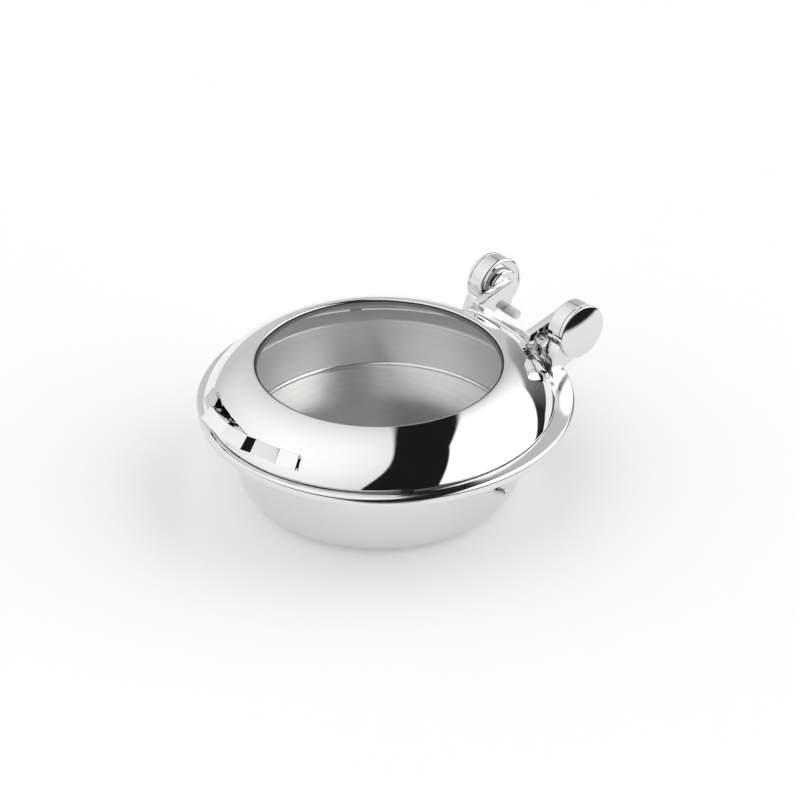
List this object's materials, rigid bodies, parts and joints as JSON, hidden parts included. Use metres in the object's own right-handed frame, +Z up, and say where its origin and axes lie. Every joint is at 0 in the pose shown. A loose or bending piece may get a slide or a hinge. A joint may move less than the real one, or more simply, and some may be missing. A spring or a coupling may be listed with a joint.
{
  "type": "round chafer",
  "caption": "Round buffet chafer: polished water pan with a wide flange, lift-out food pan, and a hinged dome lid with a glass window, strap handle and drum hinges.",
  "frame": {"origin": "centre of the rest face under the induction base, on the bowl's axis", "axes": "+Z up, +Y from the bowl's axis back to the lid hinge, -Y to the lid handle, +X to the right seen from the handle"},
  "size_m": [0.452, 0.4984, 0.1948],
  "materials": {
    "polished_steel": "mirror-polished stainless steel",
    "satin_steel": "satin stainless steel, brushed in rings",
    "base_steel": "matte magnetic steel, turned",
    "black_steel": "blackened steel",
    "window_glass": "clear toughened glass",
    "black_rubber": "moulded silicone rubber",
    "grey_rubber": "moulded light-grey silicone rubber",
    "bush_plastic": "moulded bearing plastic",
    "spring_steel": "blued spring strip",
    "damper_case": "moulded plastic",
    "damper_vane": "moulded plastic"
  },
  "bodies": {
    "base": {"water_pan": "polished_steel", "induction_base": "base_steel", "locating_studs": "polished_steel", "hub_bush_left": "bush_plastic", "hub_bush_right": "bush_plastic", "cap_bush_left": "bush_plastic", "cap_bush_right": "bush_plastic", "hinge_spring_left": "spring_steel", "hinge_spring_right": "spring_steel", "damper_body_left": "damper_case", "damper_body_right": "damper_case", "hinge_drum_left": "polished_steel", "hinge_drum_right": "polished_steel", "drum_cap_left": "polished_steel", "drum_cap_right": "polished_steel", "hinge_bracket_left": "polished_steel", "hinge_bracket_right": "polished_steel", "hinge_bridge": "polished_steel", "backing_plate": "satin_steel", "bracket_screws": "satin_steel", "bracket_washers": "satin_steel", "stop_rods": "polished_steel", "stop_buffers": "grey_rubber"},
    "lid": {"lid_shell": "polished_steel", "lid_glass": "window_glass", "glass_gasket": "black_rubber", "glass_clamp_ring": "satin_steel", "clamp_ring_screws": "satin_steel", "lid_bumpers": "black_rubber", "lid_handle": "polished_steel", "handle_screws": "satin_steel", "hinge_yoke": "polished_steel", "hinge_arm_left": "polished_steel", "hinge_arm_right": "polished_steel", "arm_screws": "satin_steel", "arm_set_screws": "black_steel", "hinge_hub_left": "polished_steel", "hinge_hub_right": "polished_steel", "hinge_pin_left": "satin_steel", "hinge_pin_right": "satin_steel", "damper_rotor_left": "damper_vane", "damper_rotor_right": "damper_vane"},
    "food_pan": {"food_pan": "satin_steel"}
  },
  "joints": [
    {"name": "lid_hinge", "type": "hinge", "parent": "base", "child": "lid", "pos_m": [0, 0.24, 0.1605], "axis": [-1, 0, 0], "range_deg": [0, 90]},
    {"name": "food_pan_lift", "type": "slide", "parent": "base", "child": "food_pan", "axis": [0, 0, 1], "range_m": [0, 0.005]}
  ]
}
